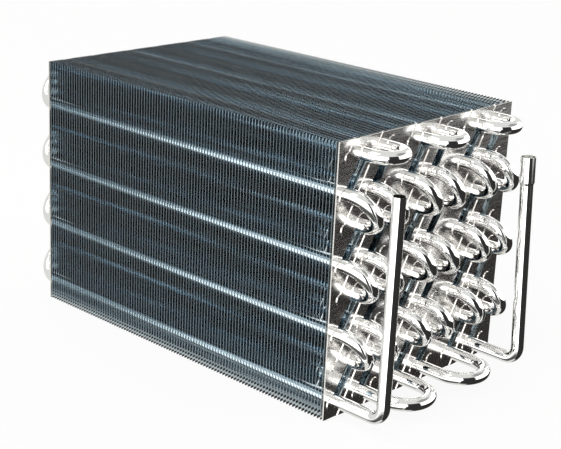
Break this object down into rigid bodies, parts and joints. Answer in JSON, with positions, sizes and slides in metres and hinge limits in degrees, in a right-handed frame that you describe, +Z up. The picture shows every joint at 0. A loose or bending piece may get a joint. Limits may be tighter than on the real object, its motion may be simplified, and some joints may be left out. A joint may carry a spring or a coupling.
{
  "type": "finned tube evaporator coil",
  "caption": "Slab evaporator coil: a rectangular block of thin fins crossed by serpentine tubes, with return bends and two upright connection pipes at one end.",
  "frame": {"origin": "middle of the underside of the fin block, on the lower edge of its middle fins", "axes": "+X along the tubes, towards the end with the connection pipes; +Y through the depth of the fins, from the inlet pipe towards the outlet pipe; +Z up"},
  "size_m": [0.3833, 0.1954, 0.2],
  "materials": {
    "fin_foil": "bright rolled foil",
    "plate": "bright rolled sheet",
    "tube": "polished drawn tube",
    "pipe": "polished drawn tube"
  },
  "bodies": {
    "root": {"bottom_bend_2": "tube", "bottom_bend_4": "tube", "end_plate_far_1": "plate", "end_plate_far_2": "plate", "end_plate_far_3": "plate", "end_plate_near_1": "plate", "end_plate_near_2": "plate", "end_plate_near_3": "plate", "fins_1": "fin_foil", "fins_2": "fin_foil", "fins_3": "fin_foil", "hairpin_1_1": "tube", "hairpin_1_2": "tube", "hairpin_1_3": "tube", "hairpin_1_4": "tube", "hairpin_2_1": "tube", "hairpin_2_2": "tube", "hairpin_2_3": "tube", "hairpin_2_4": "tube", "hairpin_3_1": "tube", "hairpin_3_2": "tube", "hairpin_3_3": "tube", "hairpin_3_4": "tube", "hairpin_4_1": "tube", "hairpin_4_2": "tube", "hairpin_4_3": "tube", "hairpin_4_4": "tube", "hairpin_5_1": "tube", "hairpin_5_2": "tube", "hairpin_5_3": "tube", "hairpin_5_4": "tube", "hairpin_6_1": "tube", "hairpin_6_2": "tube", "hairpin_6_3": "tube", "hairpin_6_4": "tube", "inlet_pipe": "pipe", "outlet_pipe": "pipe", "row_bend_1_1": "tube", "row_bend_1_2": "tube", "row_bend_1_3": "tube", "row_bend_2_1": "tube", "row_bend_2_2": "tube", "row_bend_2_3": "tube", "row_bend_3_1": "tube", "row_bend_3_2": "tube", "row_bend_3_3": "tube", "row_bend_4_1": "tube", "row_bend_4_2": "tube", "row_bend_4_3": "tube", "row_bend_5_1": "tube", "row_bend_5_2": "tube", "row_bend_5_3": "tube", "row_bend_6_1": "tube", "row_bend_6_2": "tube", "row_bend_6_3": "tube", "top_bend_1": "tube", "top_bend_3": "tube", "top_bend_5": "tube"}
  },
  "joints": []
}
